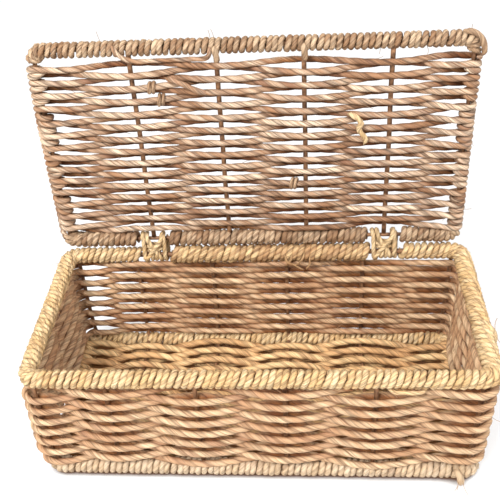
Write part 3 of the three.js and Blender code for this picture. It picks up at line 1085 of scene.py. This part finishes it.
def makeLashings():
    fill = lashing["fill"]
    for side, stakeX in (("Left", lidStakes[0]), ("Right", lidStakes[-1])):
        def track(s):
            place = onBase(stakeX - fill["half"] + s, rimLoop["halfY"], rimZ)
            return place, Vector((0, 1, 0)), baseUp, 1
        lines = [
            lashingLine(stakeX, lashing["turns"], lashing["beside"], 0, 1),
            lashingLine(stakeX, 1, lashing["strapBeside"], lashing["strapLift"], -1),
            windRound(track, 2 * fill["half"], wires["rim"], fill["rope"], fill["pitch"]),
            waistLine(stakeX),
        ]
        lines = [roughen(line, 10 * k) for k, line in enumerate(lines)]
        piece = twistRope("lashing" + side, lines, ropes["tie"], taper=3 * mm, lay=ropeMake["woundLay"])
        finishPiece(piece, "base", "tie_rope", strawGrass, "hinge_tie_" + side.lower())


makeLashings()
print("lid lashed to the rim")


# the wires, round and a little uneven

def loopLine(loop, place, centre, steps=160):
    length = loopLength(loop)
    return [place(*(loopPoint(length * i / steps, loop)[0] + centre)) for i in range(steps)]


def addWire(name, line, node, body="base", radius=wires["stake"], closed=False):
    piece = roundWire(name, [line], radius, closed)
    finishPiece(piece, body, "frame_wire", darkWire, node)


lidStakeShape = {"steps": 24, "sway": 0.5 * mm, "swayRun": 45 * mm, "seed": 51, "apart": 9}


def makeWires():
    rimLine = loopLine(rimLoop, onBase, Vector((0, 0, rimZ)))
    addWire("rimWire", rimLine, "base_rim_wire", radius=wires["rim"], closed=True)
    floorLine = loopLine(floorLoop, onBase, Vector((0, 0, floorZ)))
    addWire("floorWire", floorLine, "floor_wire", closed=True)
    lidLine = loopLine(lidLoop, onLidLoop, Vector((0, 0, 0)))
    addWire("lidWire", lidLine, "lid_wire", "lid", closed=True)
    shape = lidStakeShape
    for node in nodesNamed("lid_stake_"):
        low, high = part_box(node)
        line = []
        for i in range(shape["steps"] + 1):
            z = low.z + (high.z - low.z) * i / shape["steps"]
            sway = drift(low.x * shape["apart"], z, shape["seed"], shape["swayRun"], shape["sway"])
            line.append(Vector((middleOf(node).x + sway, hinge.y, z)))
        addWire("lidStake" + node[-1], line, node, "lid", wires["lidStake"])


stakeShape = {
    "rise": 3.6 * mm,
    "ramp": 8 * mm,
    "bend": 4 * mm,
    "step": 5 * mm,
    "sway": 0.5 * mm,
    "swayRun": 40 * mm,
    "apart": 30,  # how differently neighbouring stakes sway
}


def bentLine(corners, sway):
    # a wire through the corners, hand-straightened
    line = []
    for here, there in zip(corners, corners[1:]):
        steps = max(2, round((there - here).length / stakeShape["step"]))
        for i in range(steps + (there is corners[-1])):
            spot = here.lerp(there, i / steps)
            push = noise.noise(Vector((spot.x * stakeShape["apart"], spot.y, spot.z)) / stakeShape["swayRun"])
            line.append(swellOut(spot) + sway * push)
    return line


def makeBaseStakes():
    sway = stakeShape["sway"]
    for node in nodesNamed("cross_stake_"):
        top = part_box(node)[1].z
        x = middleOf(node).x
        turnZ = floorZ + stakeShape["rise"]
        half = [
            (wallHalf(top)[1], top),
            (wallHalf(turnZ)[1], turnZ),
            (floorLoop["halfY"] - stakeShape["ramp"], floorZ),
        ]
        corners = [onBase(x, y, z) for y, z in half] + [onBase(x, -y, z) for y, z in reversed(half)]
        addWire("crossStake" + node[-1], bentLine(corners, Vector((sway, 0, 0))), node)
    for node in nodesNamed("long_stake_"):
        low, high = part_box(node)
        y = middleOf(node).y - baseY
        lie = low.z + wires["stake"]
        turnZ = lie + stakeShape["bend"]
        half = [
            (wallHalf(high.z)[0], high.z),
            (wallHalf(turnZ)[0], turnZ),
            (wallHalf(lie)[0] - stakeShape["bend"], lie),
        ]
        corners = [onBase(x, y, z) for x, z in half] + [onBase(-x, y, z) for x, z in reversed(half)]
        addWire("longStake" + ending(node), bentLine(corners, Vector((0, sway, 0))), node)
    for node in nodesNamed("corner_stake_"):
        low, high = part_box(node)
        signX = 1 if low.x > 0 else -1
        signY = 1 if low.y > baseY else -1
        corners = []
        for z in (low.z, high.z):
            halfX, halfY = wallHalf(z)
            corners.append(onBase(signX * (halfX - wallCorner), signY * halfY, z))
        addWire("cornerStake" + ending(node), bentLine(corners, Vector((sway, 0, 0))), node)


makeWires()
makeBaseStakes()
print("wires bent")


# rope ends, binders and loose fibres

def smoothLine(points, steps=6):
    # a rounded line through given points
    ends = [points[0] * 2 - points[1], *points, points[-1] * 2 - points[-2]]
    line = []
    for before, here, there, after in zip(ends, ends[1:], ends[2:], ends[3:]):
        for i in range(steps):
            t = i / steps
            line.append((
                2 * here + (there - before) * t
                + (2 * before - 5 * here + 4 * there - after) * t ** 2
                + (3 * here - 3 * there + after - before) * t ** 3
            ) / 2)
    return line + [points[-1]]


def lidRoute(points):
    return smoothLine([onLid(x * mm, y * mm, z * mm) for x, y, z in points])


def baseRoute(points):
    return smoothLine([Vector(point) * mm for point in points])


def nearestOn(names, target):
    # the place on the named ropes nearest a point, and the rope's direction there
    best = None
    for name in names:
        for line in laidLines[name]:
            for i in range(1, len(line) - 1):
                away = (line[i] - target).length
                if best is None or away < best[0]:
                    best = (away, line[i], (line[i + 1] - line[i - 1]).normalized())
    return best[1], best[2]


def binder(spot, along, ropeRadius, ownRadius, turns):
    # a few turns of thin rope round a thicker one
    side = along.cross(Vector((0, 0, 1))).normalized()
    up = side.cross(along)
    line = []
    reach = ropeRadius + ownRadius * binders["hold"]
    for i in range(turns * binders["steps"] + 1):
        turn = i / binders["steps"]
        angle = 2 * math.pi * turn
        ring = (side * math.cos(angle) + up * math.sin(angle)) * reach
        line.append(spot + ring + along * ownRadius * 2 * (turn - turns / 2))
    return line


# routes on the lid, in mm: along the hinge, up from it, and out of the lid's outer face
topStrand = [
    (-92, 158, -4.5), (-89, 153, -6.8), (-84, 148.6, -6.4), (-77, 146.2, -5.4), (-66, 145.6, -3.6),
    (-52, 145.4, -2.6), (-40, 145.6, -2.8), (-31, 146.4, -4.4), (-27.5, 150, -6.6), (-27, 155.5, -6.6),
]
rimStub = [(0, 155, -4.6), (0, 152.6, -6), (0.4, 149.4, -5), (0.8, 146, -3.8), (0.8, 142.4, -3.6)]
crossing = [
    (-60, 132.5, -1), (-54, 132, -5.4), (-47, 129.8, -7), (-41, 126.4, -6.8), (-36, 123.4, -5.4),
    (-31, 121.6, -3.4), (-27, 121, -3.4),
]
cornerEnd = [
    (137, 159.4, -2.4), (143, 159.2, -4.6), (147.6, 156.6, -5.6), (150.4, 151.8, -5.6),
    (151.8, 146.6, -5.2), (152, 142.4, -3),
]
strawTail = [
    (64, 103, -3), (67.5, 103.6, -7), (71, 101.4, -8), (73.4, 97.6, -7.8), (71.8, 94.6, -7.2),
    (72.4, 91.8, -7.8), (75.2, 88.4, -8.2), (76.8, 84.4, -7.8), (75.4, 80.6, -7),
]
# routes on the base, in mm, in the frame's own coordinates
rimTail = [
    (84, -70, 87.5), (88, -75.5, 87.6), (93, -76.8, 88.2), (98, -77, 88.4), (104, -76.2, 87.6),
    (109, -73, 87),
]
rimSide = [
    (151, -24, 97.4), (154, -26.4, 97.2), (155.6, -29.4, 94.8), (155.6, -32.4, 91.4), (152.4, -35, 88),
]
rimCorner = [
    (151, -57, 97.4), (155.4, -60, 97.2), (157.6, -63.5, 94.6), (156.8, -66.5, 90.4), (152, -68.5, 87.4),
]
floorTail = [(133, -72, 10.4), (135.6, -75.4, 9), (136.8, -77.4, 5.8), (136.4, -79.2, 3)]
rearFrays = [
    [(33, 62, 98), (32, 58.6, 94), (28.5, 58, 89.5), (25.5, 59.2, 87), (22, 59.6, 86.4)],
    [(18, 61, 97), (19.6, 58.4, 91), (25.5, 58.4, 87.5), (30, 58.8, 84), (33.5, 60, 82)],
    [(37.4, 61.5, 96), (37, 58.6, 88.5), (34.8, 58.8, 84.5), (35.4, 60, 81)],
    [(24, 61.5, 97), (22.6, 58.8, 92), (19.4, 58.6, 88), (19, 59.6, 85)],
]
stubs = [[(x + place / mm, y, z) for x, y, z in rimStub] for place in lidStakes[1:3]]

# routes, radius and taper in mm, and the look
lidEnds = {
    "lidTopStrand": ([topStrand], 1.7, 3, lidGrass),
    "lidRimStubs": (stubs, 2.3, 3, lidEdgeGrass),
    "lidCrossing": ([crossing], 2.1, 6, lidGrass),
    "lidCornerEnd": ([cornerEnd], 2.0, 4, lidEdgeGrass),
}
baseEnds = {
    "rimTail": ([rimTail], 1.3, 4, strawGrass),
    "rimSideEnd": ([rimSide], 2.2, 3, strawGrass),
    "rimCornerEnd": ([rimCorner], 2.4, 3, strawGrass),
    "floorTail": ([floorTail], 2.6, 3, paleGrass),
    "rearFrays": (rearFrays, 0.85, 4, rearGrass),
}
lidTail = {"radius": 2.0 * mm, "taper": 5 * mm}
binders = {
    "radius": 1.3 * mm,
    "turns": 2,
    "steps": 12,
    "hold": 0.8,  # how close they lie on the rope, in their own radii
    "taper": 2 * mm,
    "places": [(-69, 126), (-63, 119), (26.4, 51.8)],
}


def makeEnds(ends, route, body, slot):
    for name, (routes, radius, taper, look) in ends.items():
        lines = [route(points) for points in routes]
        piece = twistRope(name, lines, radius * mm, taper=taper * mm)
        finishPiece(piece, body, slot, look)


def makeLidEnds():
    makeEnds(lidEnds, lidRoute, "lid", "woven_rope")
    names = [name for name in laidLines if name.startswith("lidRope")]
    lines = []
    for x, y in binders["places"]:
        spot, along = nearestOn(names, onLid(x * mm, y * mm, -weave["reach"]))
        turns = binder(spot, along, ropes["lid"], binders["radius"], binders["turns"])
        lines.append(roughen(turns, x))
    piece = twistRope("lidBinders", lines, binders["radius"], taper=binders["taper"])
    finishPiece(piece, "lid", "woven_rope", lidEdgeGrass)
    line = lidRoute(strawTail)
    piece = twistRope("lidTail", [line], **lidTail, lay=ropeMake["woundLay"])
    finishPiece(piece, "lid", "woven_rope", strawGrass)


strays = {
    "length": (5 * mm, 13 * mm),
    "radius": 0.17 * mm,
    "off": 2.1 * mm,  # rope's middle to where a fibre starts
    "along": 0.8,  # how far it runs along the rope, and how far it curls off it
    "curl": (0.2, 0.6),
    "points": 5,
    "base": 150,
    "lid": 90,
    "over": 6 * mm,  # how far they stand up from the rim, and in from the lid
}


def makeStrays(body, names):
    # short fibres that stand off the ropes
    lines = []
    for i in range(strays[body]):
        line = picks.choice(laidLines[picks.choice(names)])
        k = picks.randrange(2, len(line) - 2)
        along = (line[k + 1] - line[k - 1]).normalized() * picks.choice((-1, 1))
        turned = along.cross(Vector((picks.gauss(0, 1), picks.gauss(0, 1), picks.gauss(0, 1)))).normalized()
        size = picks.uniform(*strays["length"])
        curl = picks.uniform(*strays["curl"])
        fibre = []
        for j in range(strays["points"]):
            t = j / (strays["points"] - 1)
            spot = line[k] + turned * (strays["off"] + curl * size * t ** 2)
            spot += along * size * t * strays["along"]
            if body == "base":
                spot.z = min(max(spot.z, strays["radius"]), rimZ + strays["over"])
            else:
                spot.y = max(spot.y, hinge.y - strays["over"])
            fibre.append(spot)
        lines.append(fibre)
    piece = roundWire(body + "Strays", lines, strays["radius"], roundness=0)
    finishPiece(piece, body, "woven_rope", wallGrass if body == "base" else lidGrass)


makeLidEnds()
makeEnds(baseEnds, baseRoute, "base", "wrapped_rope")
makeStrays("base", [name for name in laidLines if name.startswith(("wall", "rim", "floor"))])
makeStrays("lid", [name for name in laidLines if name.startswith(("lidRope", "lidWinding"))])
print("rope ends and fibres added")


# floor, light and camera

stageLook = {
    "size": 3.0,
    "seen": 1.0,
    "bounce": 0.75,
    "glow": 0.6,
    "contact": 18 * mm,
    "shut": 0.2,  # how open a place is to the sky where the floor is darkest, and where it is pale
    "clear": 0.6,
    # dark brown of the painted contact shadow
    "dark": paint(98, 62, 34),
    "drop": 0.2 * mm,  # below the box
}


def seenRays(tree):
    # 1 for rays from the camera, also through gloss and glass
    rays = addNode(tree, "LightPath", {}).outputs
    total = rays["Is Camera Ray"]
    for kind in ("Is Glossy Ray", "Is Transmission Ray"):
        total = addNode(tree, "Math", {0: total, 1: rays[kind]}, operation="ADD", use_clamp=True).outputs[0]
    return total


def makeStage():
    work = bmesh.new()
    bmesh.ops.create_grid(work, x_segments=1, y_segments=1, size=stageLook["size"] / 2)
    mesh = bpy.data.meshes.new("paleFloor")
    work.to_mesh(mesh)
    work.free()
    floor = bpy.data.objects.new("paleFloor", mesh)
    sceneObjects.link(floor)
    floor.location.z = -stageLook["drop"]
    material, tree, shader = newMaterial("paleFloor")
    seen = seenRays(tree)
    shade = addNode(tree, "MapRange", {
        "Value": seen, "To Min": stageLook["bounce"], "To Max": stageLook["seen"],
    })
    # painted contact shadow: where little sky reaches the floor, under and beside the box, its colour and its
    # glow turn dark brown
    contact = addNode(tree, "AmbientOcclusion", {"Distance": stageLook["contact"]})
    skyward = addNode(tree, "MapRange", {
        "Value": contact.outputs["AO"], "From Min": stageLook["shut"], "From Max": stageLook["clear"],
    }, interpolation_type="SMOOTHSTEP")
    mixed = {0: skyward.outputs[0], 6: stageLook["dark"], 7: shade.outputs[0]}
    tint = addNode(tree, "Mix", mixed, data_type="RGBA").outputs[2]
    setInputs(tree, shader, {"Roughness": 0.9, "Base Color": tint})
    glow = addNode(tree, "Emission", {"Color": tint})
    share = addNode(tree, "Math", {0: seen, 1: stageLook["glow"]}, operation="MULTIPLY")
    mix = addNode(tree, "MixShader", {0: share.outputs[0], 1: shader.outputs[0], 2: glow.outputs[0]})
    setInputs(tree, tree.nodes["Material Output"], {"Surface": mix.outputs[0]})
    mesh.materials.append(material)


studio = {
    "zenith": 1.05,
    "horizon": 0.32,
    "aim": (0, 0, 0.09),  # of both lamps
    "key": {"place": (-0.42, -0.8, 1.05), "size": 0.5, "power": 21.5},
    "fill": {"place": (0.9, -0.4, 0.8), "size": 0.9, "power": 6.5},
}


def makeLight():
    world = bpy.data.worlds.new("studio")
    bpy.context.scene.world = world
    world.use_nodes = True
    tree = world.node_tree
    sky = tree.nodes["Background"]
    place = addNode(tree, "TexCoord", {})
    split = addNode(tree, "SeparateXYZ", {0: place.outputs["Generated"]})
    level = addNode(tree, "MapRange", {
        "Value": split.outputs["Z"], "To Min": studio["horizon"], "To Max": studio["zenith"],
    })
    setInputs(tree, sky, {"Color": level.outputs[0]})
    white = addNode(tree, "Background", {"Color": (1, 1, 1, 1)})
    mix = addNode(tree, "MixShader", {0: seenRays(tree), 1: sky.outputs[0], 2: white.outputs[0]})
    setInputs(tree, tree.nodes["World Output"], {"Surface": mix.outputs[0]})
    for name in ("key", "fill"):
        lamp = studio[name]
        light = bpy.data.lights.new(name, "AREA")
        light.size = lamp["size"]
        light.energy = lamp["power"]
        holder = bpy.data.objects.new(name, light)
        sceneObjects.link(holder)
        holder.location = lamp["place"]
        aim = Vector(studio["aim"]) - holder.location
        holder.rotation_euler = aim.to_track_quat("-Z", "Y").to_euler()


camera = {
    "place": (33.9 * mm, -450.5 * mm, 464.0 * mm),
    "pitch": 35.303,
    "yaw": -4.708,
    "roll": -3.558,
    "focal": 825,  # in pixels
    "picture": 500,
    "sensor": 36,
    "near": 0.01,
}


def makeCamera():
    pitch, yaw, roll = (math.radians(camera[turn]) for turn in ("pitch", "yaw", "roll"))
    forward = Vector((math.sin(yaw) * math.cos(pitch), math.cos(yaw) * math.cos(pitch), -math.sin(pitch)))
    level = Vector((math.cos(yaw), -math.sin(yaw), 0))
    upright = level.cross(forward)
    right = level * math.cos(roll) + upright * math.sin(roll)
    up = upright * math.cos(roll) - level * math.sin(roll)
    lens = bpy.data.cameras.new("camera")
    lens.sensor_width = camera["sensor"]
    lens.lens = camera["sensor"] * camera["focal"] / camera["picture"]
    lens.clip_start = camera["near"]
    holder = bpy.data.objects.new("camera", lens)
    sceneObjects.link(holder)
    turned = Matrix((right, up, -forward)).transposed().to_4x4()
    holder.matrix_world = Matrix.Translation(camera["place"]) @ turned
    bpy.context.scene.camera = holder


makeStage()
makeLight()
makeCamera()
sectionCurve = plySection.data
bpy.data.objects.remove(plySection)
bpy.data.curves.remove(sectionCurve)
bpy.context.scene.view_settings.view_transform = "Standard"
print("stage, light and camera set")
